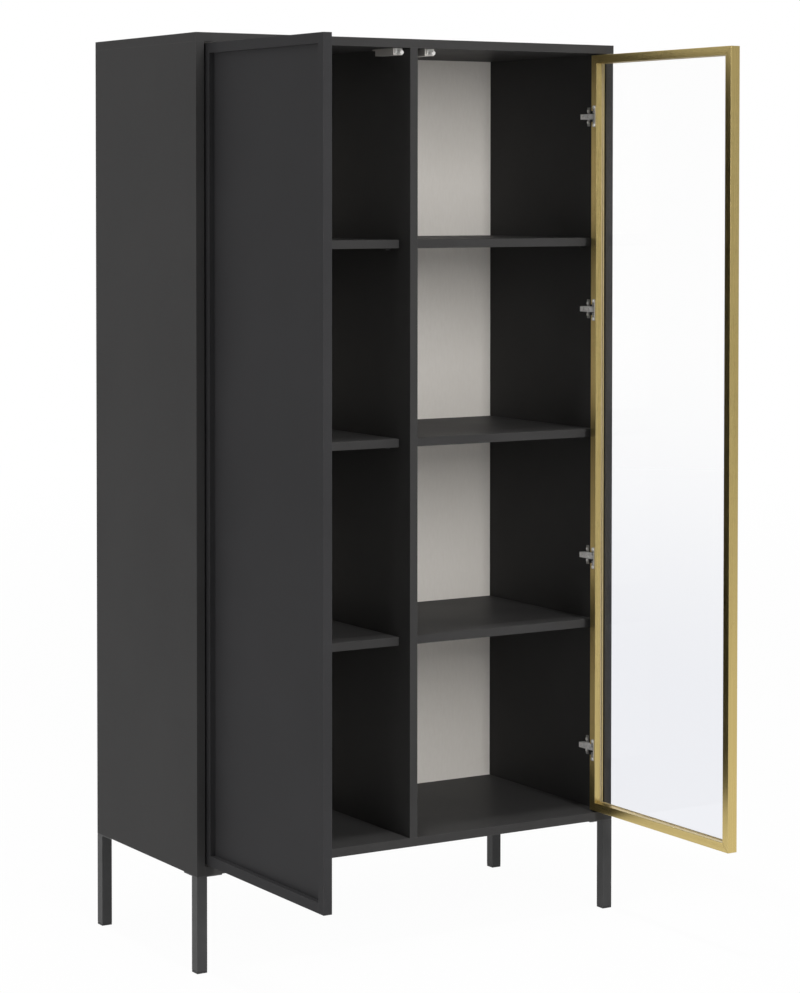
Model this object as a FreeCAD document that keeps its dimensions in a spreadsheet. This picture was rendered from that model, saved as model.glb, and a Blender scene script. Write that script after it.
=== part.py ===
import FreeCAD, Part
import os

import Sketcher
from FreeCAD import Placement, Rotation, Vector

# A two-bay bookcase on four tube legs.  The left bay has a solid door with a
# recessed panel, the right bay has a glass door in an aluminium frame.
# X runs to the right, Y to the back and Z up.  The origin is on the floor, at
# the middle of the width, in the plane of the boards' front edges.
# Both doors stand open at a right angle to the front.

SIZES = {
    # carcass
    "overall_width": 900,
    "overall_depth": 400,
    "overall_height": 1655,
    "leg_height": 172,
    "board": 16,
    "back_board": 3,
    "back_lap": 8,
    "back_gap": 0.5,
    # shelves and the pins that carry them
    "shelf_board": 16,
    "shelf_setback": 37,
    "shelf_back_gap": 2,
    "shelf_end_gap": 0.5,
    "pin_inset": 35,
    "pin_radius": 2.5,
    "pin_seat": 7,
    "pin_reach": 9,
    "pin_lug_width": 10,
    "pin_lug_thickness": 1.5,
    "pin_clearance": 0.1,
    # dowels in the carcass joints
    "dowel_radius": 4,
    "dowel_length": 30,
    "dowel_seat": 20,
    "dowel_inset": 50,
    "dowel_clearance": 0.1,
    "dowel_end_gap": 0.5,
    # nails in the back panels
    "nail_radius": 0.8,
    "nail_length": 18,
    "nail_head_radius": 2.5,
    "nail_head_height": 0.8,
    "nail_clearance": 0.05,
    "nail_end_distance": 60,
    # legs
    "leg_side": 20,
    "leg_wall": 1.5,
    "cap_thickness": 3,
    "cap_plug_depth": 12,
    "cap_clearance": 0.2,
    "plate_side": 50,
    "plate_thickness": 2,
    "plate_screw_edge": 10,
    "leg_screw_length": 14,
    "leg_screw_radius": 2,
    "leg_screw_head_radius": 4,
    "leg_screw_head_height": 2,
    "screw_clearance": 0.1,
    # doors
    "door_side_gap": 2.5,
    "door_end_gap": 3,
    "door_recess": 2,
    "solid_door_thickness": 16,
    "hinge_stile_width": 28,
    "free_stile_width": 17.5,
    "rail_width": 17.5,
    "panel_recess": 10,
    "panel_lap": 8,
    "panel_gap": 0.3,
    "door_dowel_radius": 2.5,
    "door_dowel_length": 24,
    "door_dowel_depth": 5,
    # aluminium frame of the glass door
    "glass_door_thickness": 20,
    "frame_face": 16,
    "frame_wall": 1.5,
    "groove_back": 8,
    "groove_floor": 12.5,
    "glass_thickness": 4,
    "gasket_web": 1,
    "gasket_lip": 0.6,
    "bracket_arm": 45,
    "bracket_clearance": 0.3,
    # hinges, measured from the side panel's inner face and from the front plane
    "hinge_pin_in": 10.25,
    "hinge_pin_back": 8.25,
    "hinge_end_distance": 116,
    "hinge_middle_distance": 485,
    "hinge_pin_radius": 1.5,
    "hinge_running_fit": 0.05,
    "hinge_eye_radius": 2.75,
    "hinge_gap": 0.3,
    "hinge_notch_floor": 2,
    "arm_height": 10,
    "arm_tongue": 4.5,
    "arm_front": 28,
    "arm_rear": 66.5,
    "arm_depth": 12,
    "arm_web": 1.5,
    "arm_wall": 1,
    "arm_end_wall": 2,
    "arm_screw_radius": 2,
    "arm_screw_head_radius": 3,
    "arm_screw_head_height": 1.5,
    "adjusting_screw_back": 40,
    "mounting_plate_front": 52.95,
    "mounting_plate_width": 7,
    "mounting_plate_half_height": 17.9,
    "mounting_plate_thickness": 1.5,
    "mounting_spine_front": 34,
    "mounting_screw_height": 11,
    "mounting_screw_radius": 1.9,
    "mounting_screw_length": 11,
    "mounting_screw_head_radius": 2.9,
    "mounting_screw_head_height": 1.8,
    "mounting_eyelet_height": 15.8,
    "mounting_eyelet_radius": 1.3,
    "cheek_thickness": 1.2,
    "notch_end_gap": 4,
    "flange_inner_edge": 6.2,
    "flange_outer_edge": 13,
    "flange_half_height": 20.5,
    "flange_thickness": 1.5,
    "flange_screw_height": 17,
    "flange_screw_radius": 1.75,
    "flange_screw_length": 8,
    "flange_screw_head_radius": 2.8,
    "flange_screw_head_height": 1.6,
    "flange_eyelet_height": 8.9,
    "flange_eyelet_radius": 1.5,
    # push latches under the top panel
    "left_latch_centre": -19,
    "right_latch_centre": 49.6,
    "latch_width": 20,
    "latch_height": 12.5,
    "latch_length": 63,
    "latch_front": 25.5,
    "latch_bore_end": 6,
    "latch_tab": 10,
    "latch_tab_thickness": 2.5,
    "latch_peg_radius": 2.5,
    "latch_peg_height": 5,
    "latch_peg_back": 15,
    "latch_screw_length": 12,
    "clip_width": 14,
    "clip_height": 9.5,
    "clip_thickness": 2.5,
    "clip_hole_radius": 1.2,
    "clip_hole_drop": 2,
    "clip_hole_depth": 1.2,
    "plunger_radius": 4,
    "plunger_drop": 8,
    "plunger_reach": 14.8,
    "plunger_length": 42,
    "plunger_chamfer": 0.8,
    "plunger_fit": 0.1,
}

SHELF_NAMES = ("lower", "middle", "upper")
DOWELS_PER_JOINT = 3
NAILS_PER_SIDE = 6
NAILS_PER_END = 2
SIDES = {"left": -1, "right": 1}
ENDS = {"front": False, "rear": True}

# Sketcher's numbers for the points of a line, the centre of a circle and the origin
START, END, CENTRE = 1, 2, 3
ORIGIN = (-1, 1)

X_AXIS = Vector(1, 0, 0)
Y_AXIS = Vector(0, 1, 0)
Z_AXIS = Vector(0, 0, 1)
HALF_TURN = Rotation(Y_AXIS, 180)


class Size:
    """A length: its value and the expression that reads it from the sheet."""

    def __init__(self, value, text=None):
        self.value = value
        self.text = text or f"({value})"

    def __add__(self, other):
        other = as_size(other)
        return Size(self.value + other.value, f"({self.text} + {other.text})")

    def __sub__(self, other):
        other = as_size(other)
        return Size(self.value - other.value, f"({self.text} - {other.text})")

    def __rsub__(self, other):
        return as_size(other) - self

    def __mul__(self, factor):
        return Size(self.value * factor, f"({self.text} * ({factor}))")

    def __truediv__(self, divisor):
        return Size(self.value / divisor, f"({self.text} / ({divisor}))")

    def __neg__(self):
        return self * -1

    __radd__ = __add__
    __rmul__ = __mul__


def as_size(value):
    return value if isinstance(value, Size) else Size(value)


class Sizes:
    """The driving sizes, kept in the document's sheet."""

    def __init__(self, document):
        self.sheet = document.addObject("Spreadsheet::Sheet", "Sizes")
        for row, (name, value) in enumerate(SIZES.items(), 1):
            self.sheet.set(f"A{row}", name)
            self.sheet.set(f"B{row}", str(value))
            self.sheet.setAlias(f"B{row}", name)
            setattr(self, name, Size(value, f"Sizes.{name}"))


doc = FreeCAD.newDocument("bookcase")
d = Sizes(doc)
doc.recompute()
sub_parts = []


# ---- building blocks -------------------------------------------------------

def bind(thing, prop, size):
    thing.setExpression(prop, as_size(size).text)


def place(thing, at, rotation=Rotation()):
    thing.Placement = Placement(Vector(*(as_size(value).value for value in at)), rotation)
    for axis, value in zip("xyz", at):
        bind(thing, f"Placement.Base.{axis}", value)


def box(name, across, deep, tall):
    """A box between two places on each axis."""
    block = doc.addObject("Part::Box", name)
    for prop, (low, high) in zip(("Length", "Width", "Height"), (across, deep, tall)):
        bind(block, prop, as_size(high) - low)
    place(block, (across[0], deep[0], tall[0]))
    return block


def rod(name, start, direction, length, radius):
    """A cylinder that runs from a point along a direction."""
    bar = doc.addObject("Part::Cylinder", name)
    bind(bar, "Radius", radius)
    bind(bar, "Height", length)
    place(bar, start, Rotation(Z_AXIS, direction))
    return bar


def fuse(name, pieces):
    joined = doc.addObject("Part::MultiFuse", name)
    joined.Shapes = pieces
    return joined


def cut(name, base, tools):
    """Take every tool out of the base."""
    if not tools:
        return base
    result = doc.addObject("Part::Cut", name)
    result.Base = base
    result.Tool = tools[0] if len(tools) == 1 else fuse(f"{name}_tools", tools)
    return result


def group(name, pieces):
    """Separate solids that are one sub-part."""
    together = doc.addObject("Part::Compound", name)
    together.Links = pieces
    return together


def copies(name, master, places):
    """The same solid at each place, as (point, rotation)."""
    links = []
    for at, rotation in places:
        link = doc.addObject("App::Link", f"{name}_copy")
        link.LinkedObject = master
        link.LinkTransform = True
        place(link, at, rotation)
        links.append(link)
    return group(name, links)


def sub_part(label, thing):
    thing.Label = label
    sub_parts.append(thing)
    return thing


def span(side, low, high):
    """A stretch of X on the left (-1) or the right (+1) of the middle."""
    return (low, high) if side > 0 else (-high, -low)


def depth_span(rear, low, high):
    """A stretch of Y measured from the front or from the rear."""
    return (d.overall_depth - high, d.overall_depth - low) if rear else (low, high)


def sketch_on(body, role, name, offset=0):
    """A sketch on one of the body's own origin planes."""
    plane = next(f for f in body.Origin.OriginFeatures if f.Role == role)
    sketch = body.newObject("Sketcher::SketchObject", name)
    sketch.AttachmentSupport = (plane, [""])
    sketch.MapMode = "FlatFace"
    bind(sketch, "AttachmentOffset.Base.z", offset)
    return sketch


def hold(sketch, geometry, point, at):
    """Dimension a point of the sketch from its origin."""
    for kind, size in zip(("DistanceX", "DistanceY"), at):
        constraint = Sketcher.Constraint(kind, *ORIGIN, geometry, point, as_size(size).value)
        number = sketch.addConstraint(constraint)
        bind(sketch, f"Constraints[{number}]", size)


def outline(sketch, corners):
    """A closed outline of straight lines through the corners."""
    first = sketch.GeometryCount
    points = [Vector(as_size(x).value, as_size(y).value) for x, y in corners]
    for start, end in zip(points, points[1:] + points[:1]):
        sketch.addGeometry(Part.LineSegment(start, end))
    for index, corner in enumerate(corners):
        following = first + (index + 1) % len(corners)
        sketch.addConstraint(Sketcher.Constraint("Coincident", first + index, END, following, START))
        hold(sketch, first + index, START, corner)


def rectangle(sketch, across, along):
    (left, right), (near, far) = across, along
    outline(sketch, [(left, near), (right, near), (right, far), (left, far)])


def ring(sketch, centre, radius):
    """A circle held by its centre and its radius."""
    middle = Vector(*(as_size(value).value for value in centre))
    index = sketch.addGeometry(Part.Circle(middle, Z_AXIS, radius.value))
    hold(sketch, index, CENTRE, centre)
    number = sketch.addConstraint(Sketcher.Constraint("Radius", index, radius.value))
    bind(sketch, f"Constraints[{number}]", radius)


def new_body(name):
    return doc.addObject("PartDesign::Body", name)


def feature(body, kind, name, sketch, length=None, both_ways=False, backwards=False):
    """A pad or a pocket of a sketch; without a length it goes through everything."""
    made = body.newObject(f"PartDesign::{kind}", name)
    made.Profile = sketch
    made.Midplane = both_ways
    made.Reversed = backwards
    if length is None:
        made.Type = "ThroughAll"
    else:
        bind(made, "Length", length)
    sketch.Visibility = False
    return made


# ---- places worked out from the driving sizes ------------------------------

half_width = d.overall_width / 2
side_inner = half_width - d.board
side_middle = half_width - d.board / 2
partition_face = d.board / 2
floor_top = d.leg_height + d.board
under_top = d.overall_height - d.board
back_inner = d.overall_depth - d.back_board
bay_gap = (under_top - floor_top - d.shelf_board * len(SHELF_NAMES)) / (len(SHELF_NAMES) + 1)
shelf_back = back_inner - d.shelf_back_gap

# A door's own directions are u, from its hinge edge to its free edge, and w,
# from its front face to its inner face.  Open, u points forwards and w to the
# middle of the bookcase.
pin_u = d.hinge_pin_in - d.door_side_gap
pin_w = d.hinge_pin_back - d.door_recess
open_face = side_inner - d.hinge_pin_in + pin_w
open_edge = d.hinge_pin_back + pin_u
door_width = side_inner - partition_face - d.door_side_gap * 2
door_bottom = floor_top + d.door_end_gap
door_top = under_top - d.door_end_gap
door_height = door_top - door_bottom
hinge_heights = (
    door_bottom + d.hinge_end_distance,
    door_bottom + d.hinge_middle_distance,
    door_top - d.hinge_middle_distance,
    door_top - d.hinge_end_distance,
)
notch_width = pin_u + d.hinge_eye_radius + d.hinge_gap * 2
cheek_inner = d.arm_height / 2 + d.hinge_gap
cheek_outer = cheek_inner + d.cheek_thickness
notch_half_height = cheek_outer + d.notch_end_gap
flange_screw_u = (d.flange_inner_edge + d.flange_outer_edge) / 2

holes = {name: [] for name in (
    "top_panel", "bottom_panel", "centre_partition", "left_side_panel", "right_side_panel",
    "left_back_panel", "right_back_panel",
)}


def drill(hole, *boards):
    """The same hole in every board that it passes through."""
    for name in boards:
        holes[name].append(hole)


# ---- carcass ---------------------------------------------------------------

def evenly(low, high, count):
    """Places from low to high, both included."""
    step = (high - low) / (count - 1)
    return [low + step * index for index in range(count)]


def dowel(name, start, direction, boards):
    """A dowel from the bottom of its deep hole, and the hole with its end gap."""
    peg = rod(name, start, direction, d.dowel_length, d.dowel_radius)
    hole_length = d.dowel_length + d.dowel_end_gap
    hole = rod(f"{name}_hole", start, direction, hole_length, d.dowel_radius + d.dowel_clearance)
    drill(hole, *boards)
    return peg


def carcass_dowels():
    rows = evenly(d.dowel_inset, d.overall_depth - d.dowel_inset, DOWELS_PER_JOINT)
    upper = {
        "left_side_panel": -side_middle,
        "centre_partition": Size(0),
        "right_side_panel": side_middle,
    }
    top_dowels = []
    bottom_dowels = []
    for y in rows:
        for standing, x in upper.items():
            start = (x, y, under_top - d.dowel_seat)
            top_dowels.append(dowel("top_dowel", start, Z_AXIS, (standing, "top_panel")))
        for name, side in SIDES.items():
            start = ((side_inner - d.dowel_seat) * side, y, floor_top - d.board / 2)
            boards = (f"{name}_side_panel", "bottom_panel")
            bottom_dowels.append(dowel("bottom_dowel", start, X_AXIS * side, boards))
        start = (0, y, floor_top + d.dowel_seat)
        boards = ("centre_partition", "bottom_panel")
        bottom_dowels.append(dowel("partition_dowel", start, -Z_AXIS, boards))
    sub_part("top_joint_dowels", group("top_joint_dowels", top_dowels))
    sub_part("bottom_joint_dowels", group("bottom_joint_dowels", bottom_dowels))


def shelf_pin(start, direction, top, board):
    """A shelf pin with a flat lug under the shelf, and its hole."""
    inwards = direction * -1
    hole_radius = d.pin_radius + d.pin_clearance
    drill(rod("pin_hole", start, inwards, d.pin_seat, hole_radius), board)
    seat_end = (start[0] + d.pin_seat * inwards.x, start[1], start[2])
    stem = rod("pin_stem", seat_end, direction, d.pin_seat + d.pin_reach, d.pin_radius)
    reach = start[0] + d.pin_reach * direction.x
    across = (start[0], reach) if direction.x > 0 else (reach, start[0])
    half = d.pin_lug_width / 2
    lug = box("pin_lug", across, (start[1] - half, start[1] + half), (top - d.pin_lug_thickness, top))
    return fuse("shelf_pin", [stem, lug])


def shelves():
    for name, side in SIDES.items():
        pins = []
        faces = (
            ((side_inner) * side, X_AXIS * -side, f"{name}_side_panel"),
            (partition_face * side, X_AXIS * side, "centre_partition"),
        )
        for number, level in enumerate(SHELF_NAMES):
            bottom = floor_top + bay_gap * (number + 1) + d.shelf_board * number
            across = span(side, partition_face + d.shelf_end_gap, side_inner - d.shelf_end_gap)
            label = f"{name}_{level}_shelf"
            shelf = box(label, across, (d.shelf_setback, shelf_back), (bottom, bottom + d.shelf_board))
            sub_part(label, shelf)
            for y in (d.shelf_setback + d.pin_inset, shelf_back - d.pin_inset):
                for x, direction, board in faces:
                    pins.append(shelf_pin((x, y, bottom - d.pin_radius), direction, bottom, board))
        label = f"{name}_shelf_pins"
        sub_part(label, group(label, pins))


def back_panels():
    """Both back panels, in a rebate of the sides and the top, and their nails."""
    edge = side_inner + d.back_lap
    past = d.overall_depth + d.back_board
    rebate = box("back_rebate", (-edge, edge), (back_inner, past), (0, under_top + d.back_lap))
    drill(rebate, "left_side_panel", "right_side_panel", "top_panel")
    low = d.leg_height + d.back_gap
    high = under_top + d.back_lap - d.back_gap
    nails = []
    for name, side in SIDES.items():
        board = f"{name}_back_panel"
        across = span(side, d.back_gap, edge - d.back_gap)
        panel = box(f"{board}_blank", across, (back_inner, d.overall_depth), (low, high))
        outer = (side_inner + d.back_lap / 2) * side
        inner = partition_face / 2 * side
        ends = (d.leg_height + d.nail_end_distance, d.overall_height - d.nail_end_distance)
        spots = []
        for z in evenly(*ends, NAILS_PER_SIDE):
            spots.append((outer, z, f"{name}_side_panel"))
            spots.append((inner, z, "centre_partition"))
        for x in evenly(inner, outer, NAILS_PER_END + 2)[1:-1]:
            spots.append((x, floor_top - d.board / 2, "bottom_panel"))
            spots.append((x, under_top + d.back_lap / 2, "top_panel"))
        for x, z, behind in spots:
            start = (x, d.overall_depth, z)
            shank = rod("nail_shank", start, -Y_AXIS, d.nail_length, d.nail_radius)
            head = rod("nail_head", start, Y_AXIS, d.nail_head_height, d.nail_head_radius)
            nails.append(fuse("nail", [shank, head]))
            hole = rod("nail_hole", start, -Y_AXIS, d.nail_length, d.nail_radius + d.nail_clearance)
            drill(hole, board, behind)
        sub_part(board, cut(board, panel, holes[board]))
    sub_part("back_panel_nails", group("back_panel_nails", nails))


def boards():
    """The five boards of the carcass, with all that is drilled in them."""
    standing = (d.leg_height, under_top)
    blanks = {
        "top_panel": ((-half_width, half_width), (0, d.overall_depth), (under_top, d.overall_height)),
        "left_side_panel": ((-half_width, -side_inner), (0, d.overall_depth), standing),
        "right_side_panel": ((side_inner, half_width), (0, d.overall_depth), standing),
        "bottom_panel": ((-side_inner, side_inner), (0, back_inner), (d.leg_height, floor_top)),
        "centre_partition": ((-partition_face, partition_face), (0, back_inner), (floor_top, under_top)),
    }
    for label, extents in blanks.items():
        blank = box(f"{label}_blank", *extents)
        sub_part(label, cut(label, blank, holes[label]))


# ---- legs ------------------------------------------------------------------

def leg_tube(name):
    """A square tube, upright, with its corner at the body's origin."""
    body = new_body(name)
    section = sketch_on(body, "XY_Plane", f"{name}_section")
    inner = (d.leg_wall, d.leg_side - d.leg_wall)
    rectangle(section, (0, d.leg_side), (0, d.leg_side))
    rectangle(section, inner, inner)
    feature(body, "Pad", f"{name}_pad", section, d.leg_height - d.plate_thickness - d.cap_thickness)
    return body


def foot_cap(side, rear):
    """A plastic cap with a plug that fills the tube's end."""
    base = box("cap_base", *leg_extents(side, rear, 0), (0, d.cap_thickness))
    plug_top = d.cap_thickness + d.cap_plug_depth
    inset = d.leg_wall + d.cap_clearance
    plug = box("cap_plug", *leg_extents(side, rear, inset), (0, plug_top))
    return fuse("foot_cap", [base, plug])


def leg_extents(side, rear, inset):
    across = span(side, half_width - d.leg_side + inset, half_width - inset)
    return across, depth_span(rear, inset, d.leg_side - inset)


def screw(name, start, direction, length, radius, head_radius, head_height):
    """A pan-head screw whose head stands on the start point, against the direction."""
    shank = rod(f"{name}_shank", start, direction, length, radius)
    head = rod(f"{name}_head", start, direction * -1, head_height, head_radius)
    return fuse(name, [shank, head])


def legs():
    plates = []
    caps = []
    screws = []
    plate_bottom = d.leg_height - d.plate_thickness
    far = d.plate_side - d.plate_screw_edge
    for end, rear in ENDS.items():
        for name, side in SIDES.items():
            tube = leg_tube(f"{end}_{name}_leg")
            across, deep = leg_extents(side, rear, 0)
            place(tube, (across[0], deep[0], d.cap_thickness))
            sub_part(f"{end}_{name}_leg", tube)
            caps.append(foot_cap(side, rear))
            extents = (
                span(side, half_width - d.plate_side, half_width),
                depth_span(rear, 0, d.plate_side),
                (plate_bottom, d.leg_height),
            )
            plate_holes = []
            spots = (
                (far, d.plate_screw_edge, "bottom_panel"),
                (far, far, "bottom_panel"),
                (d.board / 2, far, f"{name}_side_panel"),
            )
            for from_side, from_end, board in spots:
                y = d.overall_depth - from_end if rear else from_end
                start = ((half_width - from_side) * side, y, plate_bottom)
                screws.append(screw("leg_screw", start, Z_AXIS, d.leg_screw_length, d.leg_screw_radius,
                                    d.leg_screw_head_radius, d.leg_screw_head_height))
                radius = d.leg_screw_radius + d.screw_clearance
                hole = rod("leg_screw_hole", start, Z_AXIS, d.leg_screw_length, radius)
                plate_holes.append(hole)
                drill(hole, board)
            plates.append(cut("leg_plate", box("plate_blank", *extents), plate_holes))
    sub_part("leg_plates", group("leg_plates", plates))
    sub_part("leg_screws", group("leg_screws", screws))
    sub_part("leg_foot_caps", group("leg_foot_caps", caps))


# ---- doors -----------------------------------------------------------------

def door_x(side, w):
    return (open_face - w) * side


def door_box(name, side, u, w, tall):
    """A box in an open door's own directions."""
    across = span(side, open_face - w[1], open_face - w[0])
    return box(name, across, (open_edge - u[1], open_edge - u[0]), tall)


def hinge_cuts(side, thickness):
    """The notches for the hinge arms and the pilot holes for the bracket screws."""
    tools = []
    past = d.flange_thickness
    notch_w = (d.hinge_notch_floor, thickness + past)
    for z in hinge_heights:
        tall = (z - notch_half_height, z + notch_half_height)
        tools.append(door_box("hinge_notch", side, (-past, notch_width), notch_w, tall))
        for height in (d.flange_screw_height, -d.flange_screw_height):
            start = (door_x(side, thickness), open_edge - flange_screw_u, z + height)
            radius = d.flange_screw_radius + d.screw_clearance
            tools.append(rod("flange_screw_hole", start, X_AXIS * side, d.flange_screw_length, radius))
    return tools


def solid_door():
    side = SIDES["left"]
    thickness = d.solid_door_thickness
    inner_u = (d.hinge_stile_width, door_width - d.free_stile_width)
    inner_z = (door_bottom + d.rail_width, door_top - d.rail_width)
    seat_u = (inner_u[0] - d.panel_lap, inner_u[1] + d.panel_lap)
    seat_z = (inner_z[0] - d.panel_lap, inner_z[1] + d.panel_lap)
    seat = door_box("panel_seat", side, seat_u, (d.panel_recess, thickness + d.panel_gap), seat_z)

    dowels = []
    dowel_holes = []
    for z in (door_bottom + d.rail_width / 2, door_top - d.rail_width / 2):
        for joint in inner_u:
            start_u = joint - d.door_dowel_length / 2
            start = (door_x(side, d.door_dowel_depth), open_edge - start_u, z)
            dowels.append(rod("door_dowel", start, -Y_AXIS, d.door_dowel_length, d.door_dowel_radius))
            hole_radius = d.door_dowel_radius + d.dowel_clearance
            dowel_holes.append(rod("door_dowel_hole", start, -Y_AXIS, d.door_dowel_length, hole_radius))

    full_height = (door_bottom, door_top)
    members = {
        "hinge_stile": ((0, inner_u[0]), full_height, hinge_cuts(side, thickness)),
        "free_stile": ((inner_u[1], door_width), full_height, []),
        "bottom_rail": (inner_u, (door_bottom, inner_z[0]), []),
        "top_rail": (inner_u, (inner_z[1], door_top), []),
    }
    for name, (u, tall, extra) in members.items():
        label = f"left_door_{name}"
        blank = door_box(f"{label}_blank", side, u, (0, thickness), tall)
        sub_part(label, cut(label, blank, [seat] + dowel_holes + extra))
    panel_u = (seat_u[0] + d.panel_gap, seat_u[1] - d.panel_gap)
    panel_z = (seat_z[0] + d.panel_gap, seat_z[1] - d.panel_gap)
    panel = door_box("left_door_panel", side, panel_u, (d.panel_recess, thickness), panel_z)
    sub_part("left_door_panel", panel)
    sub_part("left_door_dowels", group("left_door_dowels", dowels))


def frame_member(name, length):
    """One mitred length of the aluminium section.

    In the body, X runs from the front face to the inner face, Y from the
    outer edge inwards and Z along the length.
    """
    body = new_body(name)
    wall = d.frame_wall
    face = d.frame_face
    section = sketch_on(body, "XY_Plane", f"{name}_section")
    outline(section, [
        (0, 0), (0, face), (wall, face), (wall, d.groove_floor), (d.groove_back, d.groove_floor),
        (d.groove_back, face), (d.glass_door_thickness, face), (d.glass_door_thickness, 0),
    ])
    rectangle(section, (wall, d.groove_back), (wall, d.groove_floor - wall))
    rectangle(section, (d.groove_back + wall, d.glass_door_thickness - wall), (wall, face - wall))
    feature(body, "Pad", f"{name}_pad", section, length)
    mitres = sketch_on(body, "YZ_Plane", f"{name}_mitres")
    outline(mitres, [(0, 0), (face, 0), (face, face)])
    outline(mitres, [(0, length), (face, length), (face, length - face)])
    feature(body, "Pocket", f"{name}_mitre_cut", mitres, both_ways=True)
    return body


def glass_door():
    side = SIDES["right"]
    thickness = d.glass_door_thickness
    face = door_x(side, 0)
    far_edge = open_edge - door_width
    # each member: its length, the corner it starts from, and where its X, Y and Z point
    members = {
        "hinge_stile": (door_height, (face, open_edge, door_bottom), -X_AXIS, -Y_AXIS, Z_AXIS),
        "free_stile": (door_height, (face, far_edge, door_top), -X_AXIS, Y_AXIS, -Z_AXIS),
        "bottom_rail": (door_width, (face, far_edge, door_bottom), -X_AXIS, Z_AXIS, Y_AXIS),
        "top_rail": (door_width, (face, open_edge, door_top), -X_AXIS, -Z_AXIS, -Y_AXIS),
    }
    for name, (length, corner, *axes) in members.items():
        label = f"right_door_{name}"
        body = frame_member(f"{label}_section" if name == "hinge_stile" else label, length)
        place(body, corner, Rotation(*axes, "ZXY"))
        cuts = hinge_cuts(side, thickness) if name == "hinge_stile" else []
        sub_part(label, cut(label, body, cuts))

    def framed(name, inset, w):
        u = (inset, door_width - inset)
        return door_box(name, side, u, w, (door_bottom + inset, door_top - inset))

    glass_front = (d.frame_wall + d.groove_back - d.glass_thickness) / 2
    glass_w = (glass_front, glass_front + d.glass_thickness)
    glass_inset = d.groove_floor + d.gasket_web
    sub_part("right_door_glass", framed("right_door_glass", glass_inset, glass_w))
    gasket_w = (d.frame_wall, d.groove_back)
    gasket = cut("right_door_gasket", framed("gasket_blank", d.groove_floor, gasket_w), [
        framed("gasket_opening", d.frame_face + d.gasket_lip, gasket_w),
        framed("gasket_groove", glass_inset, glass_w),
    ])
    sub_part("right_door_gasket", gasket)
    corner_brackets(side)


def corner_brackets(side):
    """An L of two arms inside each corner of the frame."""
    low = d.frame_wall + d.bracket_clearance
    high = d.frame_face - low
    w = (d.groove_back + low, d.glass_door_thickness - low)
    brackets = []
    for near_u in (True, False):
        for near_z in (True, False):
            def along(distance):
                return distance if near_u else door_width - distance

            def up(distance):
                return door_bottom + distance if near_z else door_top - distance

            def ordered(start, end, ahead):
                return (start, end) if ahead else (end, start)

            short_u = ordered(along(low), along(high), near_u)
            long_u = ordered(along(low), along(d.bracket_arm), near_u)
            short_z = ordered(up(low), up(high), near_z)
            long_z = ordered(up(low), up(d.bracket_arm), near_z)
            brackets.append(fuse("corner_bracket", [
                door_box("bracket_arm_up", side, short_u, w, long_z),
                door_box("bracket_arm_along", side, long_u, w, short_z),
            ]))
    sub_part("right_door_corner_brackets", group("right_door_corner_brackets", brackets))


# ---- hinges ----------------------------------------------------------------
# Each hinge piece is modelled about its pin: X points from the side panel to
# the middle of the bookcase, Y to the back and Z up along the pin.

wall_x = -d.hinge_pin_in
plate_face = wall_x + d.mounting_plate_thickness
arm_face = plate_face + d.arm_depth
web_inner = arm_face - d.arm_web
arm_front = d.arm_front - d.hinge_pin_back
arm_rear = d.arm_rear - d.hinge_pin_back
plate_front = d.mounting_plate_front - d.hinge_pin_back
plate_rear = plate_front + d.mounting_plate_width
plate_middle = plate_front + d.mounting_plate_width / 2
arm_screw_spots = (plate_middle, d.adjusting_screw_back - d.hinge_pin_back)


def hinge_plate():
    """A cross-shaped plate with two wings for its screws and a spine under the arm."""
    body = new_body("hinge_plate")
    face = sketch_on(body, "YZ_Plane", "hinge_plate_face", wall_x)
    wing = d.mounting_plate_half_height
    spine = d.arm_height / 2 - d.arm_wall - d.hinge_gap
    spine_front = d.mounting_spine_front - d.hinge_pin_back
    spine_rear = arm_rear - d.arm_end_wall - d.hinge_gap
    outline(face, [
        (spine_front, -spine), (plate_front, -spine), (plate_front, -wing), (plate_rear, -wing),
        (plate_rear, -spine), (spine_rear, -spine), (spine_rear, spine), (plate_rear, spine),
        (plate_rear, wing), (plate_front, wing), (plate_front, spine), (spine_front, spine),
    ])
    for end in (1, -1):
        screw_radius = d.mounting_screw_radius + d.screw_clearance
        ring(face, (plate_middle, d.mounting_screw_height * end), screw_radius)
        ring(face, (plate_middle, d.mounting_eyelet_height * end), d.mounting_eyelet_radius)
    ring(face, (plate_middle, 0), d.arm_screw_radius + d.screw_clearance)
    feature(body, "Pad", "hinge_plate_pad", face, d.mounting_plate_thickness)
    return body


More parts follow.
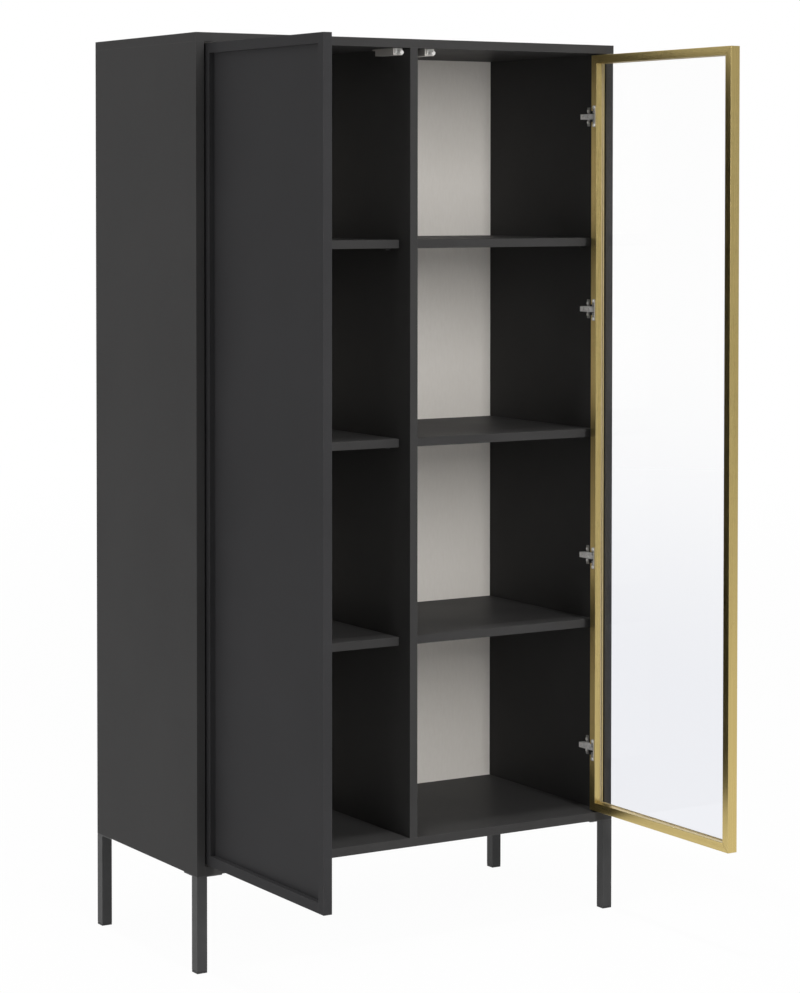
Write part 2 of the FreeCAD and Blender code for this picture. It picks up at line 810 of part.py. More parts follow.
def hinge_arm():
    """An arm with an eye for the pin, a flat tongue and a channel over the mounting plate."""
    body = new_body("hinge_arm")
    eye = sketch_on(body, "XY_Plane", "hinge_arm_eye")
    ring(eye, (0, 0), d.hinge_eye_radius)
    feature(body, "Pad", "hinge_arm_eye_pad", eye, d.arm_height, both_ways=True)
    half = d.arm_tongue / 2
    shape = sketch_on(body, "XY_Plane", "hinge_arm_outline")
    outline(shape, [
        (-half, 0), (half, 0), (half, arm_front), (arm_face, arm_front),
        (arm_face, arm_rear), (plate_face, arm_rear), (plate_face, arm_front), (-half, arm_front),
    ])
    feature(body, "Pad", "hinge_arm_pad", shape, d.arm_height, both_ways=True)
    pin_hole = sketch_on(body, "XY_Plane", "hinge_arm_pin_hole")
    ring(pin_hole, (0, 0), d.hinge_pin_radius + d.hinge_running_fit)
    feature(body, "Pocket", "hinge_arm_pin_cut", pin_hole, both_ways=True)
    channel = sketch_on(body, "XY_Plane", "hinge_arm_channel")
    channel_ends = (arm_front + d.arm_end_wall, arm_rear - d.arm_end_wall)
    channel_height = d.arm_height - d.arm_wall * 2
    rectangle(channel, (plate_face - d.arm_wall, web_inner), channel_ends)
    feature(body, "Pocket", "hinge_arm_channel_cut", channel, channel_height, both_ways=True)
    screws = sketch_on(body, "YZ_Plane", "hinge_arm_screw_holes")
    for y in arm_screw_spots:
        ring(screws, (y, 0), d.arm_screw_radius + d.screw_clearance)
    feature(body, "Pocket", "hinge_arm_screw_cut", screws, both_ways=True)
    return body


def hinge_bracket(name, thickness):
    """The piece on the door: two cheeks that hold the pin and a flange on the inner face."""
    body = new_body(name)
    inner_face = thickness - pin_w
    outer_face = inner_face + d.flange_thickness
    cheeks = sketch_on(body, "XY_Plane", f"{name}_cheeks")
    radius = d.hinge_eye_radius
    rectangle(cheeks, (-radius, inner_face), (-radius, radius))
    feature(body, "Pad", f"{name}_cheek_pad", cheeks, cheek_outer * 2, both_ways=True)
    flange = sketch_on(body, "YZ_Plane", f"{name}_flange", inner_face)
    near = pin_u - d.flange_inner_edge
    far = pin_u - d.flange_outer_edge
    rectangle(flange, (far, near), (-d.flange_half_height, d.flange_half_height))
    feature(body, "Pad", f"{name}_flange_pad", flange, d.flange_thickness)
    window = sketch_on(body, "XY_Plane", f"{name}_window")
    past = d.flange_thickness
    rectangle(window, (-radius - past, outer_face + past), (pin_u - notch_width, near + past))
    feature(body, "Pocket", f"{name}_window_cut", window, cheek_inner * 2, both_ways=True)
    bore = sketch_on(body, "XY_Plane", f"{name}_bore")
    ring(bore, (0, 0), d.hinge_pin_radius)
    feature(body, "Pocket", f"{name}_bore_cut", bore, both_ways=True)
    screws = sketch_on(body, "YZ_Plane", f"{name}_screw_holes")
    for end in (1, -1):
        screw_radius = d.flange_screw_radius + d.screw_clearance
        ring(screws, (pin_u - flange_screw_u, d.flange_screw_height * end), screw_radius)
        ring(screws, (pin_u - flange_screw_u, d.flange_eyelet_height * end), d.flange_eyelet_radius)
    feature(body, "Pocket", f"{name}_screw_cut", screws, both_ways=True)
    return body


def hinge_screws(thickness):
    """The screws of one hinge, as one group for each piece that they hold."""
    groups = {}
    groups["plate_screws"] = [
        screw("plate_screw", (plate_face, plate_middle, z), -X_AXIS,
              d.mounting_plate_thickness + d.mounting_screw_length, d.mounting_screw_radius,
              d.mounting_screw_head_radius, d.mounting_screw_head_height)
        for z in (d.mounting_screw_height, -d.mounting_screw_height)
    ]
    lengths = (arm_face - wall_x - d.hinge_gap, arm_face - plate_face)
    groups["arm_screws"] = [
        screw("arm_screw", (arm_face, y, 0), -X_AXIS, length, d.arm_screw_radius,
              d.arm_screw_head_radius, d.arm_screw_head_height)
        for y, length in zip(arm_screw_spots, lengths)
    ]
    outer_face = thickness - pin_w + d.flange_thickness
    groups["bracket_screws"] = [
        screw("bracket_screw", (outer_face, pin_u - flange_screw_u, z), -X_AXIS,
              d.flange_thickness + d.flange_screw_length, d.flange_screw_radius,
              d.flange_screw_head_radius, d.flange_screw_head_height)
        for z in (d.flange_screw_height, -d.flange_screw_height)
    ]
    return {kind: group(kind, screws) for kind, screws in groups.items()}


def hinges():
    plate = hinge_plate()
    arm = hinge_arm()
    pin = rod("hinge_pin", (0, 0, -cheek_outer), Z_AXIS, cheek_outer * 2, d.hinge_pin_radius)
    thicknesses = {"left": d.solid_door_thickness, "right": d.glass_door_thickness}
    for name, side in SIDES.items():
        thickness = thicknesses[name]
        bracket = hinge_bracket(f"{name}_bracket", thickness)
        rotation = Rotation() if side < 0 else HALF_TURN
        pin_x = (side_inner - d.hinge_pin_in) * side
        places = [((pin_x, d.hinge_pin_back, z), rotation) for z in hinge_heights]
        masters = {
            "mounting_plates": plate,
            "arms": arm,
            "brackets": bracket,
            "pins": pin,
        }
        masters.update(hinge_screws(thickness))
        for kind, master in masters.items():
            label = f"{name}_hinge_{kind}"
            sub_part(label, copies(label, master, places))
        radius = d.mounting_screw_radius + d.screw_clearance
        for z in hinge_heights:
            for height in (d.mounting_screw_height, -d.mounting_screw_height):
                start = (side_inner * side, plate_middle + d.hinge_pin_back, z + height)
                hole = rod("plate_screw_hole", start, X_AXIS * side, d.mounting_screw_length, radius)
                drill(hole, f"{name}_side_panel")


# ---- push latches ----------------------------------------------------------
# A latch is modelled about the middle of its housing's front, under the top
# panel: Y points to the back and Z up.

def latch_housing(name):
    """A housing with a bore for the plunger, a peg on its roof and a tab for its screw."""
    body = new_body(name)
    half = d.latch_width / 2
    front = sketch_on(body, "XZ_Plane", f"{name}_front")
    rectangle(front, (-half, half), (-d.latch_height, 0))
    feature(body, "Pad", f"{name}_block", front, d.latch_length, backwards=True)
    tab = sketch_on(body, "XY_Plane", f"{name}_tab")
    rectangle(tab, (-half, half), (d.latch_length, d.latch_length + d.latch_tab))
    ring(tab, (0, d.latch_length + d.latch_tab / 2), d.flange_screw_radius + d.screw_clearance)
    feature(body, "Pad", f"{name}_tab_pad", tab, d.latch_tab_thickness, backwards=True)
    peg = sketch_on(body, "XY_Plane", f"{name}_peg")
    ring(peg, (0, d.latch_peg_back), d.latch_peg_radius)
    feature(body, "Pad", f"{name}_peg_pad", peg, d.latch_peg_height)
    bore = sketch_on(body, "XZ_Plane", f"{name}_bore")
    ring(bore, (0, -d.plunger_drop), d.plunger_radius + d.plunger_fit)
    feature(body, "Pocket", f"{name}_bore_cut", bore, d.latch_length - d.latch_bore_end)
    return body


def latch_clip():
    """A white plate on the housing's front that straddles the plunger."""
    body = new_body("latch_clip")
    half = d.clip_width / 2
    face = sketch_on(body, "XZ_Plane", "clip_face")
    rectangle(face, (-half, half), (-d.clip_height, 0))
    feature(body, "Pad", "clip_pad", face, d.clip_thickness)
    way = sketch_on(body, "XZ_Plane", "clip_way")
    ring(way, (0, -d.plunger_drop), d.plunger_radius + d.hinge_gap)
    feature(body, "Pocket", "clip_way_cut", way, both_ways=True)
    socket = sketch_on(body, "XZ_Plane", "clip_socket", d.clip_thickness)
    ring(socket, (0, -d.clip_hole_drop), d.clip_hole_radius)
    feature(body, "Pocket", "clip_socket_cut", socket, d.clip_hole_depth)
    return body


def latch_plunger(name):
    """A round plunger with a chamfered tip, along Y from its tip."""
    body = new_body(name)
    profile = sketch_on(body, "XY_Plane", f"{name}_profile")
    radius = d.plunger_radius
    length = d.plunger_length
    chamfer = d.plunger_chamfer
    outline(profile, [
        (0, 0), (radius - chamfer, 0), (radius, chamfer), (radius, length), (0, length),
    ])
    turned = body.newObject("PartDesign::Revolution", f"{name}_turned")
    turned.Profile = profile
    turned.ReferenceAxis = (profile, ["V_Axis"])
    turned.Angle = 360
    return body


def latches():
    centres = {"left": d.left_latch_centre, "right": d.right_latch_centre}
    tab_middle = d.latch_front + d.latch_length + d.latch_tab / 2
    clip = latch_clip()
    clip_places = []
    screws = []
    for name, x in centres.items():
        housing = latch_housing(f"{name}_latch_housing")
        place(housing, (x, d.latch_front, under_top))
        sub_part(f"{name}_latch_housing", housing)
        clip_places.append(((x, d.latch_front, under_top), Rotation()))
        plunger = latch_plunger(f"{name}_latch_plunger")
        place(plunger, (x, d.latch_front - d.plunger_reach, under_top - d.plunger_drop))
        sub_part(f"{name}_latch_plunger", plunger)
        peg_hole = rod("peg_hole", (x, d.latch_front + d.latch_peg_back, under_top), Z_AXIS,
                       d.latch_peg_height, d.latch_peg_radius + d.screw_clearance)
        start = (x, tab_middle, under_top - d.latch_tab_thickness)
        length = d.latch_tab_thickness + d.latch_screw_length
        screws.append(screw("latch_screw", start, Z_AXIS, length, d.flange_screw_radius,
                            d.flange_screw_head_radius, d.flange_screw_head_height))
        hole_radius = d.flange_screw_radius + d.screw_clearance
        screw_hole = rod("latch_screw_hole", start, Z_AXIS, length, hole_radius)
        drill(peg_hole, "top_panel")
        drill(screw_hole, "top_panel")
    sub_part("latch_clips", copies("latch_clips", clip, clip_places))
    sub_part("latch_screws", group("latch_screws", screws))


# ---- the whole bookcase ----------------------------------------------------

carcass_dowels()
shelves()
back_panels()
legs()
solid_door()
glass_door()
hinges()
latches()
boards()
doc.recompute()

for thing in doc.Objects:
    if "Invalid" in thing.State or "Error" in thing.State:
        raise RuntimeError(f"{thing.Label} is {thing.State}")
for part in sub_parts:
    if part.Shape.isNull() or not part.Shape.isValid():
        raise RuntimeError(f"{part.Label} has no valid shape")

os.makedirs("parts", exist_ok=True)
for part in sub_parts:
    part.Shape.exportStep(f"parts/{part.Label}.step")
    print(f"{part.Label}: {len(part.Shape.Solids)} solids, {part.Shape.Volume:.0f} mm3")
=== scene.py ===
import math

import bpy
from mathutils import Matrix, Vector

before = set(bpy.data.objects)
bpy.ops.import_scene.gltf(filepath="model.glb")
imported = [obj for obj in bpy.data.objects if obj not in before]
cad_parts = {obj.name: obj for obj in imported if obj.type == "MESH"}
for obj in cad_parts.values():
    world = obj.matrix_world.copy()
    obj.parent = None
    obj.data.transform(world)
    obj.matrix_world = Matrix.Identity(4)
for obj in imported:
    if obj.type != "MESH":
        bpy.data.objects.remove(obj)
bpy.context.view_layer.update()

# members of the gold frame, and their scale for the brushing, which is drawn out lengthwise:
# upright in a stile and from front to back in a rail, as the door stands open
STILE, RAIL = "stile", "rail"
DRAWN_OUT = 0.006
BRUSHING = {STILE: (1.0, 1.0, DRAWN_OUT), RAIL: (1.0, DRAWN_OUT, 1.0)}

WHITE = (1.0, 1.0, 1.0, 1.0)

# the Mix node's sockets in its colour mode, which share their names with those of other modes
MIX_SHARE, MIX_FIRST, MIX_SECOND, MIX_RESULT = 0, 6, 7, 2

# tinted edges, partly wear and partly a painted edge highlight: rays of the Bevel node, and
# the agreement of its normal with the face's at which the edge tint is full and gone
EDGE_SAMPLES = 6
EDGE_TINT_FULL, EDGE_TINT_GONE = 0.80, 0.995


# ---------------------------------------------------------------- node trees

class Graph:
    """The node tree of one material or of the world."""

    def __init__(self, owner):
        owner.use_nodes = True
        self.tree = owner.node_tree
        self.tree.nodes.clear()

    def node(self, kind, inputs=None, **settings):
        """A node whose inputs are linked to other nodes' sockets or set to plain values."""
        made = self.tree.nodes.new("ShaderNode" + kind)
        for name, value in settings.items():
            setattr(made, name, value)
        for name, value in (inputs or {}).items():
            socket = made.inputs[name]
            if isinstance(value, bpy.types.NodeSocket):
                self.tree.links.new(value, socket)
            else:
                socket.default_value = value
        return made

    def places(self, stretch=(1.0, 1.0, 1.0)):
        """Points on the piece in metres, scaled along each axis."""
        coordinates = self.node("TexCoord").outputs["Object"]
        mapping = self.node("Mapping", {"Vector": coordinates, "Scale": stretch})
        return mapping.outputs["Vector"]

    def noise(self, vector, scale, detail=4.0, roughness=0.55):
        inputs = {"Vector": vector, "Scale": scale, "Detail": detail, "Roughness": roughness}
        return self.node("TexNoise", inputs).outputs["Fac"]

    def ranged(self, value, low, high, start=0.3, end=0.7, shape="LINEAR"):
        """value brought from start..end to low..high; most of a noise lies in the default."""
        inputs = {
            "Value": value,
            "From Min": start,
            "From Max": end,
            "To Min": low,
            "To Max": high,
        }
        return self.node("MapRange", inputs, interpolation_type=shape).outputs["Result"]

    def math(self, operation, first, second):
        return self.node("Math", {0: first, 1: second}, operation=operation).outputs["Value"]

    def mixed(self, share, first, second):
        """A colour between first and second."""
        inputs = {MIX_SHARE: share, MIX_FIRST: first, MIX_SECOND: second}
        return self.node("Mix", inputs, data_type="RGBA").outputs[MIX_RESULT]

    def edge_tinted(self, colour, edge_colour, patchy, radius):
        """colour on the faces, another on the outer edges as far as patchy lets it show; a
        lighter edge colour is partly wear, partly a painted edge highlight.
        """
        rounded = self.node("Bevel", {"Radius": radius}, samples=EDGE_SAMPLES).outputs["Normal"]
        flat = self.node("NewGeometry").outputs["True Normal"]
        turned = self.node("VectorMath", {0: rounded, 1: flat}, operation="DOT_PRODUCT")
        edge = self.ranged(turned.outputs["Value"], 1.0, 0.0, EDGE_TINT_FULL, EDGE_TINT_GONE)
        return self.mixed(self.math("MULTIPLY", edge, patchy), colour, edge_colour)

    def bump(self, height, strength, distance):
        inputs = {"Height": height, "Strength": strength, "Distance": distance}
        return self.node("Bump", inputs).outputs["Normal"]

    def blend(self, share, first, second):
        """A shader between two shader nodes."""
        return self.node("MixShader", {0: share, 1: first.outputs[0], 2: second.outputs[0]})

    def surface(self, shader):
        self.node("OutputMaterial", {"Surface": shader.outputs[0]})


def material(name):
    made = bpy.data.materials.new(name)
    return made, Graph(made)


def opaque(tone, factor, most=1.0):
    """The tone times a factor, with no channel above most."""
    return tuple(min(channel * factor, most) for channel in tone) + (1.0,)


def grey(level, warmth=0.0):
    return (level * (1 + warmth), level, level * (1 - warmth), 1.0)


# ---------------------------------------------------------------- finishes

def laminate(name, tone, sheen, lift):
    """Matt melamine foil: a fine orange-peel grain, faint cloudiness, lighter edges that are
    partly wear and partly a painted edge highlight.
    """
    made, g = material(name)
    at = g.places()
    cloud = g.noise(at, scale=5.0, detail=5.0)
    fleck = g.noise(at, scale=650.0, detail=2.0)
    grain = g.noise(at, scale=2600.0, detail=2.0)
    patchy = g.ranged(g.noise(at, scale=45.0), 0.25, 0.8)
    colour = g.mixed(g.ranged(cloud, 0.0, 1.0), opaque(tone, 0.90), opaque(tone, 1.10))
    specks = g.ranged(fleck, 0.0, 0.22, start=0.45, end=0.75)
    colour = g.mixed(specks, colour, grey(tone[1] * 1.6))
    # lighter edges: partly wear, partly a painted edge highlight
    colour = g.edge_tinted(colour, grey(lift, warmth=0.02), patchy, radius=0.0011)
    cloudy = g.ranged(cloud, sheen - 0.04, sheen + 0.04)
    shader = g.node("BsdfPrincipled", {
        "Base Color": colour,
        "Roughness": g.math("ADD", cloudy, g.ranged(grain, -0.03, 0.03)),
        "Specular IOR Level": 0.05,
        "Normal": g.bump(grain, strength=0.16, distance=0.00025),
    })
    g.surface(shader)
    return made


def backing(name):
    """Pale foil on hardboard: soft mottling and the board's fine fibre under the foil."""
    made, g = material(name)
    at = g.places()
    cloud = g.noise(at, scale=3.5)
    fibre = g.noise(g.places((240.0, 240.0, 60.0)), scale=1.0, detail=3.0)
    patchy = g.ranged(g.noise(at, scale=30.0), 0.2, 0.7)
    mottle = g.ranged(cloud, 0.0, 1.0)
    colour = g.mixed(mottle, (0.82, 0.780, 0.725, 1), (0.87, 0.830, 0.775, 1))
    colour = g.mixed(g.ranged(fibre, 0.0, 0.25), colour, (0.74, 0.695, 0.635, 1))
    colour = g.edge_tinted(colour, (0.40, 0.33, 0.25, 1), patchy, radius=0.0012)
    shader = g.node("BsdfPrincipled", {
        "Base Color": colour,
        "Roughness": g.ranged(fibre, 0.55, 0.68),
        "Specular IOR Level": 0.35,
        "Normal": g.bump(fibre, strength=0.10, distance=0.0003),
    })
    g.surface(shader)
    return made


def brushed_gold(name, lie):
    """Gold-coloured anodised aluminium, brushed along the length of each member."""
    made, g = material(name)
    at = g.places()
    lengthwise = g.places(BRUSHING[lie])
    brush = g.noise(lengthwise, scale=2400.0, detail=3.0, roughness=0.7)
    streak = g.noise(lengthwise, scale=420.0, detail=2.0)
    cloud = g.noise(at, scale=9.0)
    patchy = g.ranged(g.noise(at, scale=60.0), 0.3, 0.9)
    streaky = g.ranged(streak, 0.0, 1.0)
    colour = g.mixed(streaky, (0.590, 0.455, 0.178, 1), (0.660, 0.520, 0.214, 1))
    colour = g.mixed(g.ranged(cloud, 0.0, 0.25), colour, (0.61, 0.47, 0.180, 1))
    # paler gold edges: partly wear, partly a painted edge highlight
    colour = g.edge_tinted(colour, (0.86, 0.76, 0.50, 1), patchy, radius=0.0008)
    shader = g.node("BsdfPrincipled", {
        "Base Color": colour,
        "Metallic": 1.0,
        "Roughness": g.math("ADD", g.ranged(brush, 0.24, 0.34), g.ranged(cloud, -0.02, 0.03)),
        "Normal": g.bump(brush, strength=0.10, distance=0.00012),
    })
    g.surface(shader)
    return made


# where the painted shade on the glass, darker and cooler towards the foot, is full and gone
PAINTED_SHADE_FULL, PAINTED_SHADE_GONE = 0.42, 1.12  # heights on the glass, in metres


def clear_glass(name):
    """Clear float glass with painted shade, faintly darker and cooler towards the foot, that
    lets the lamps' light through.
    """
    made, g = material(name)
    height = g.node("SeparateXYZ", {"Vector": g.places()}).outputs["Z"]
    painted_shade = g.ranged(height, 1.0, 0.0, PAINTED_SHADE_FULL, PAINTED_SHADE_GONE, "SMOOTHSTEP")
    pane = g.node("BsdfPrincipled", {
        "Base Color": g.mixed(painted_shade, WHITE, (0.875, 0.885, 0.922, 1)),
        "Roughness": 0.0,
        "IOR": 1.14,
        "Transmission Weight": 1.0,
    })
    rays = g.node("LightPath").outputs
    lamplight = g.math("MAXIMUM", rays["Is Shadow Ray"], rays["Is Diffuse Ray"])
    clear = g.node("BsdfTransparent", {"Color": (0.95, 0.95, 0.96, 1)})
    g.surface(g.blend(lamplight, pane, clear))
    return made


def painted_metal(name, tone):
    """Powder-coated steel: orange peel, faint cloudiness, lighter edges that are partly wear and
    partly a painted edge highlight.
    """
    made, g = material(name)
    at = g.places()
    peel = g.noise(at, scale=900.0, detail=2.0)
    cloud = g.noise(at, scale=18.0)
    patchy = g.ranged(g.noise(at, scale=70.0), 0.2, 0.8)
    colour = g.mixed(g.ranged(cloud, 0.0, 1.0), opaque(tone, 0.92), opaque(tone, 1.08))
    # lighter edges: partly wear, partly a painted edge highlight
    colour = g.edge_tinted(colour, grey(tone[1] * 2.1), patchy, radius=0.0012)
    shader = g.node("BsdfPrincipled", {
        "Base Color": colour,
        "Roughness": g.ranged(peel, 0.36, 0.48),
        "Specular IOR Level": 0.16,
        "Coat Weight": 0.03,
        "Coat Roughness": 0.3,
        "Normal": g.bump(peel, strength=0.12, distance=0.0004),
    })
    g.surface(shader)
    return made


def worked_metal(name, tone, rough, fineness, metallic):
    """Plated or uncoated metal with small tool marks; its copies for the hinges and the shelf
    pins carry painted light and painted shade.
    """
    made, g = material(name)
    at = g.places()
    marks = g.noise(at, scale=fineness, roughness=0.65)
    blotch = g.ranged(g.noise(at, scale=160.0), 0.0, 1.0)
    patchy = g.ranged(g.noise(at, scale=300.0), 0.3, 0.9)
    colour = g.mixed(blotch, grey(tone * 0.84, warmth=0.01), grey(tone, warmth=0.01))
    # lighter edges: partly wear, partly a painted edge highlight
    colour = g.edge_tinted(colour, grey(min(tone * 1.3, 0.92)), patchy, radius=0.0005)
    shader = g.node("BsdfPrincipled", {
        "Base Color": colour,
        "Metallic": metallic,
        "Roughness": g.ranged(marks, rough - 0.07, rough + 0.08),
        "Normal": g.bump(marks, strength=0.15, distance=0.00008),
    })
    g.surface(shader)
    return made


def moulded_plastic(name, tone, rough):
    """Injection-moulded plastic with a fine spark texture and slightly paler edges, partly wear
    and partly a painted edge highlight.
    """
    made, g = material(name)
    at = g.places()
    spark = g.noise(at, scale=3200.0, detail=2.0)
    flow = g.noise(g.places((1.0, 0.3, 1.0)), scale=90.0)
    patchy = g.ranged(g.noise(at, scale=200.0), 0.1, 0.6)
    pale = opaque(tone, 1.05, most=0.95)
    colour = g.mixed(g.ranged(flow, 0.0, 1.0), opaque(tone, 0.94), pale)
    # paler edges: partly wear, partly a painted edge highlight
    colour = g.edge_tinted(colour, opaque(tone, 1.25, most=0.95), patchy, radius=0.0006)
    shader = g.node("BsdfPrincipled", {
        "Base Color": colour,
        "Roughness": g.ranged(spark, rough - 0.05, rough + 0.06),
        "Specular IOR Level": 0.45,
        "Normal": g.bump(spark, strength=0.10, distance=0.0001),
    })
    g.surface(shader)
    return made


def silicone(name):
    """Pale translucent gasket silicone, matt and slightly dusty."""
    made, g = material(name)
    at = g.places()
    dust = g.noise(at, scale=120.0, detail=5.0)
    grain = g.noise(at, scale=1800.0)
    colour = g.mixed(g.ranged(dust, 0.0, 1.0), (0.62, 0.51, 0.27, 1), (0.70, 0.58, 0.33, 1))
    patchy = g.ranged(dust, 0.2, 0.7)
    # paler edges: partly wear, partly a painted edge highlight
    colour = g.edge_tinted(colour, (0.74, 0.65, 0.44, 1), patchy, radius=0.0005)
    shader = g.node("BsdfPrincipled", {
        "Base Color": colour,
        "Roughness": g.ranged(grain, 0.30, 0.45),
        "Transmission Weight": 0.2,
        "IOR": 1.41,
        "Normal": g.bump(grain, strength=0.15, distance=0.0001),
    })
    g.surface(shader)
    return made


def beech(name):
    """Beech dowel: straight grain with short darker rays."""
    made, g = material(name)
    grain = g.noise(g.places((1.0, 1.0, 0.08)), scale=420.0, detail=5.0, roughness=0.6)
    rays = g.noise(g.places((1.0, 1.0, 0.25)), scale=1500.0, detail=2.0)
    colour = g.mixed(g.ranged(grain, 0.0, 1.0), (0.50, 0.33, 0.18, 1), (0.66, 0.47, 0.29, 1))
    rayed = g.ranged(rays, 0.0, 0.4, start=0.55, end=0.75)
    colour = g.mixed(rayed, colour, (0.36, 0.21, 0.11, 1))
    patchy = g.ranged(grain, 0.2, 0.6)
    # paler edges: partly wear, partly a painted edge highlight
    colour = g.edge_tinted(colour, (0.74, 0.58, 0.40, 1), patchy, radius=0.0006)
    shader = g.node("BsdfPrincipled", {
        "Base Color": colour,
        "Roughness": g.ranged(grain, 0.55, 0.72),
        "Normal": g.bump(grain, strength=0.2, distance=0.0002),
    })
    g.surface(shader)
    return made


CHARCOAL = (0.0465, 0.0455, 0.0452)
DOOR_CHARCOAL = (0.0345, 0.0340, 0.0355)
LEG_GREY = (0.060, 0.060, 0.0605)
HOUSING_GREY = (0.60, 0.575, 0.54)
CLIP_WHITE = (0.74, 0.73, 0.70)
FOOT_BLACK = (0.030, 0.030, 0.030)

# painted light: the hinge arms' copy of the hinge steel, pale and hardly metallic
ARM_STEEL_PAINTED_LIGHT = worked_metal("arm_nickel_painted_light", tone=0.94, rough=0.38, fineness=900.0, metallic=0.2)
# painted shade: the hinge plates' copy of the hinge steel, darkened
PLATE_STEEL_PAINTED_SHADE = worked_metal("plate_nickel_painted_shade", tone=0.50, rough=0.42, fineness=900.0, metallic=0.7)
ZINC = worked_metal("zinc_plate", tone=0.90, rough=0.30, fineness=1500.0, metallic=0.7)
# painted shade: the shelf pins, near black so that they sit in the shade under the shelves
DARK = worked_metal("pin_steel_painted_shade", tone=0.035, rough=0.50, fineness=1500.0, metallic=0.5)
ALUMINIUM = worked_metal("mill_aluminium", tone=0.66, rough=0.38, fineness=700.0, metallic=1.0)

# slot: (material, width of the rounded edges in metres)
FINISHES = {
    "board": (laminate("charcoal_laminate", CHARCOAL, sheen=0.50, lift=0.085), 0.0010),
    "door_board": (laminate("door_laminate", DOOR_CHARCOAL, sheen=0.52, lift=0.078), 0.0007),
    "back_board": (backing("pale_backing"), 0.0002),
    "leg_metal": (painted_metal("leg_paint", LEG_GREY), 0.0010),
    "leg_plate_steel": (painted_metal("plate_paint", LEG_GREY), 0.0003),
    "hinge_steel": (ARM_STEEL_PAINTED_LIGHT, 0.00025),
    "screw_steel": (ZINC, 0.00015),
    "bracket_aluminium": (ALUMINIUM, 0.0003),
    "latch_grey": (moulded_plastic("grey_nylon", HOUSING_GREY, rough=0.45), 0.0004),
    "latch_white": (moulded_plastic("white_nylon", CLIP_WHITE, rough=0.40), 0.0003),
    "foot_plastic": (moulded_plastic("black_foot", FOOT_BLACK, rough=0.55), 0.0004),
    "dowel_wood": (beech("beech"), 0.0),
    "glass": (clear_glass("clear_glass"), 0.0003),
    "gasket_rubber": (silicone("pale_silicone"), 0.0),
}
GOLD = {lie: (brushed_gold("brushed_gold_" + lie, lie), 0.0004) for lie in (STILE, RAIL)}
# only the arms of the hinges are bright, a painted-light copy of the hinge steel, with their
# plates a painted-shade copy; the shelf pins are painted dark as shade, so that they don't show
HINGE_BODY = (PLATE_STEEL_PAINTED_SHADE, 0.00025)
SHELF_PIN = (DARK, 0.00015)

SAME_POINT = 0.00001  # metres
SHARP_ANGLE = 50  # degrees
ROUND_SEGMENTS = 2


def soften(piece, width):
    """Rounds the piece's own sharp edges, as sanding, foil and drawing dies leave them."""
    weld = piece.modifiers.new("joined_faces", "WELD")
    weld.merge_threshold = SAME_POINT
    bevel = piece.modifiers.new("soft_edges", "BEVEL")
    bevel.width = width
    bevel.segments = ROUND_SEGMENTS
    bevel.limit_method = "ANGLE"
    bevel.angle_limit = math.radians(SHARP_ANGLE)
    bevel.use_clamp_overlap = True
    bevel.harden_normals = True


def finish_for(name, slot):
    """The material and the width of the rounded edges for a piece and its CAD slot."""
    if slot == "gold_aluminium":
        return GOLD[STILE if "stile" in name else RAIL]
    if slot == "hinge_steel" and "arms" not in name:
        return HINGE_BODY
    if "shelf_pins" in name:
        return SHELF_PIN
    return FINISHES[slot]


for name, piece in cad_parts.items():
    finish, edge = finish_for(name, piece.material_slots[0].material.name)
    piece.material_slots[0].material = finish
    if edge:
        soften(piece, edge)


# ---------------------------------------------------------------- floor and world

def reflected(g):
    """1 for rays that a polished surface has turned, also after they pass the glass."""
    rays = g.node("LightPath").outputs
    turned = g.math("GREATER_THAN", rays["Glossy Depth"], 0.5)
    return g.math("MULTIPLY", rays["Is Glossy Ray"], turned)


def straight(g):
    """1 for rays that show the background itself: from the camera and on through glass."""
    rays = g.node("LightPath").outputs
    clear = g.math("MAXIMUM", rays["Is Camera Ray"], rays["Is Transmission Ray"])
    return g.math("MULTIPLY", clear, g.math("SUBTRACT", 1.0, reflected(g)))


STUDIO_LEVEL = 0.52  # what polished surfaces see of the room in front of the backdrop
FILL_LOW, FILL_HIGH = 0.35, 0.62  # what matt surfaces get from the sides and from overhead

FLOOR_HALF = 12.0
PAINT_DARK, PAINT_LIGHT = 0.69, 0.71
WHITE_SHARE = 0.972  # of the floor near the piece; the rest is paint, which takes the shadow
# metres from the middle at which the paint starts to fade, at which the floor's reflection
# starts to dim, and at which both are done
PAINT_FADES, MIRROR_DIMS, FAR_OFF = 2.0, 1.5, 9.0


def pale_floor():
    """Plain floor, white to the camera but for the shadow, dimmer afar in reflections."""
    made, g = material("pale_floor")
    cloud = g.ranged(g.noise(g.places(), scale=1.2), 0.0, 1.0)
    paint = g.node("BsdfDiffuse", {"Color": g.mixed(cloud, grey(PAINT_DARK), grey(PAINT_LIGHT))})
    reach = g.node("VectorMath", {0: g.places()}, operation="LENGTH").outputs["Value"]
    distant = g.ranged(reach, 1.0, STUDIO_LEVEL, MIRROR_DIMS, FAR_OFF, "SMOOTHSTEP")
    level = g.math("MAXIMUM", straight(g), distant)
    glow = g.node("Emission", {"Color": WHITE, "Strength": level})
    lit = g.ranged(reach, WHITE_SHARE, 1.0, PAINT_FADES, FAR_OFF, "SMOOTHSTEP")
    share = g.math("MULTIPLY", g.math("MAXIMUM", straight(g), reflected(g)), lit)
    g.surface(g.blend(share, paint, glow))
    return made


CORNERS = ((-1, -1), (1, -1), (1, 1), (-1, 1))
floor_mesh = bpy.data.meshes.new("floor")
floor_mesh.from_pydata(
    [(x * FLOOR_HALF, y * FLOOR_HALF, 0.0) for x, y in CORNERS], [], [(0, 1, 2, 3)])
floor_mesh.materials.append(pale_floor())
floor = bpy.data.objects.new("floor", floor_mesh)
bpy.context.scene.collection.objects.link(floor)


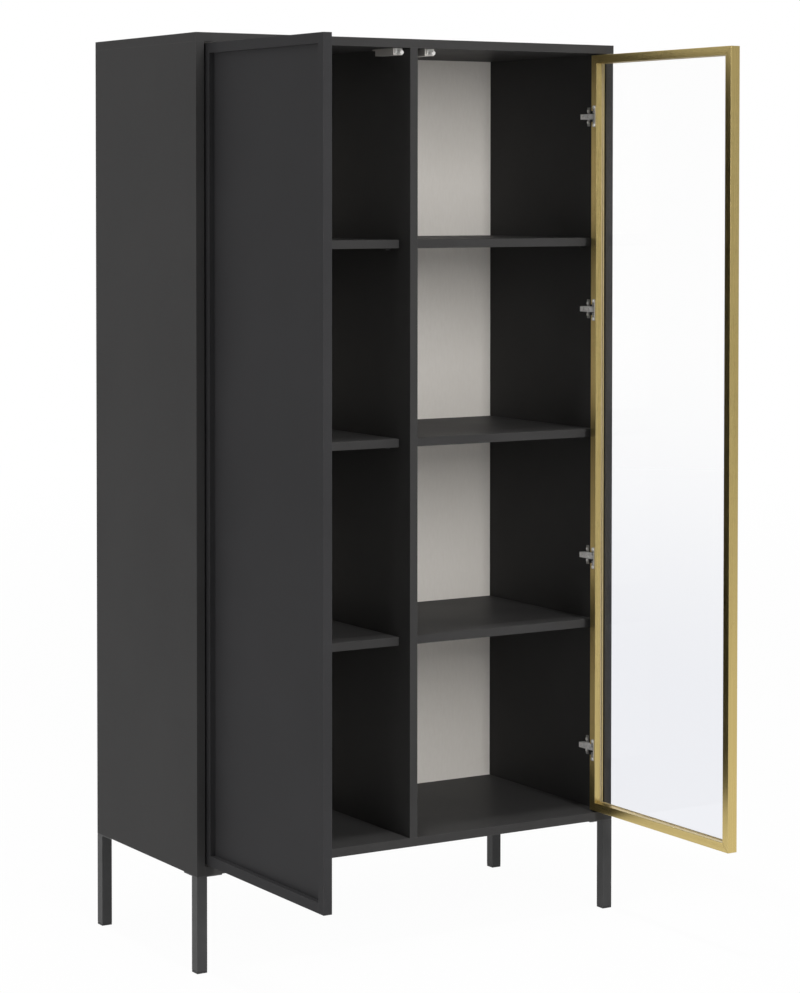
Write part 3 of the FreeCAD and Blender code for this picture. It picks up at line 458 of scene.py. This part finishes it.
def studio(world):
    """Soft fill for matt surfaces, a paler backdrop for polished ones, white to the camera."""
    g = Graph(world)
    direction = g.node("TexCoord").outputs["Generated"]
    towards = g.node("SeparateXYZ", {"Vector": direction}).outputs

    def glow(strength):
        return g.node("Background", {"Color": WHITE, "Strength": strength})

    above = g.ranged(towards["Z"], FILL_LOW, FILL_HIGH, start=0.3, end=1.0)
    behind = g.ranged(towards["Y"], STUDIO_LEVEL, 1.0, start=0.1, end=0.5, shape="SMOOTHSTEP")
    unseen = g.blend(reflected(g), glow(above), glow(behind))
    shown = g.blend(straight(g), unseen, glow(1.0))
    g.node("OutputWorld", {"Surface": shown.outputs[0]})


world = bpy.data.worlds.new("studio")
bpy.context.scene.world = world
studio(world)


# ---------------------------------------------------------------- lamps

def softbox(name, at, towards, width, height, power):
    """A rectangular area lamp that looks at a point, with its power in watts."""
    lamp = bpy.data.lights.new(name, "AREA")
    lamp.shape = "RECTANGLE"
    lamp.size = width
    lamp.size_y = height
    lamp.energy = power
    holder = bpy.data.objects.new(name, lamp)
    holder.location = at
    aim = Vector(towards) - Vector(at)
    holder.rotation_euler = aim.to_track_quat("-Z", "Y").to_euler()
    bpy.context.scene.collection.objects.link(holder)


softbox("front_softbox", at=(0.0, -3.65, 2.6), towards=(0.0, 0.0, 0.9),
        width=0.8, height=2.1, power=79.0)
softbox("low_softbox", at=(0.1, -3.9, 1.0), towards=(0.0, 0.0, 0.9),
        width=0.8, height=1.4, power=13.0)
softbox("side_softbox", at=(-4.2, 0.0, 1.0), towards=(-0.4, 0.0, 0.9),
        width=3.4, height=1.8, power=33.5)
softbox("top_softbox", at=(-0.53, -0.15, 6.0), towards=(-0.53, -0.15, 0.0),
        width=0.25, height=1.0, power=170.0)


# ---------------------------------------------------------------- camera

IMAGE_WIDTH, IMAGE_HEIGHT = 800, 993
FOCAL_PIXELS = 2806.7
AXIS_PIXEL = (349.5, 272.5)  # where the lens axis meets the picture, from its top left
SENSOR_WIDTH = 36.0
CAMERA_PLACE = (-2.74245, -4.33990, 1.37666)
CAMERA_PITCH, CAMERA_YAW = 88.349, -30.973  # degrees
CLIP_END = 60.0

lens = bpy.data.cameras.new("camera")
lens.sensor_fit = "HORIZONTAL"
lens.sensor_width = SENSOR_WIDTH
lens.lens = FOCAL_PIXELS * SENSOR_WIDTH / IMAGE_WIDTH
lens.shift_x = (IMAGE_WIDTH / 2 - AXIS_PIXEL[0]) / IMAGE_WIDTH
lens.shift_y = (AXIS_PIXEL[1] - IMAGE_HEIGHT / 2) / IMAGE_WIDTH
lens.clip_end = CLIP_END
camera = bpy.data.objects.new("camera", lens)
camera.location = CAMERA_PLACE
camera.rotation_euler = (math.radians(CAMERA_PITCH), 0.0, math.radians(CAMERA_YAW))
bpy.context.scene.collection.objects.link(camera)
bpy.context.scene.camera = camera

bpy.context.scene.view_settings.view_transform = "Standard"
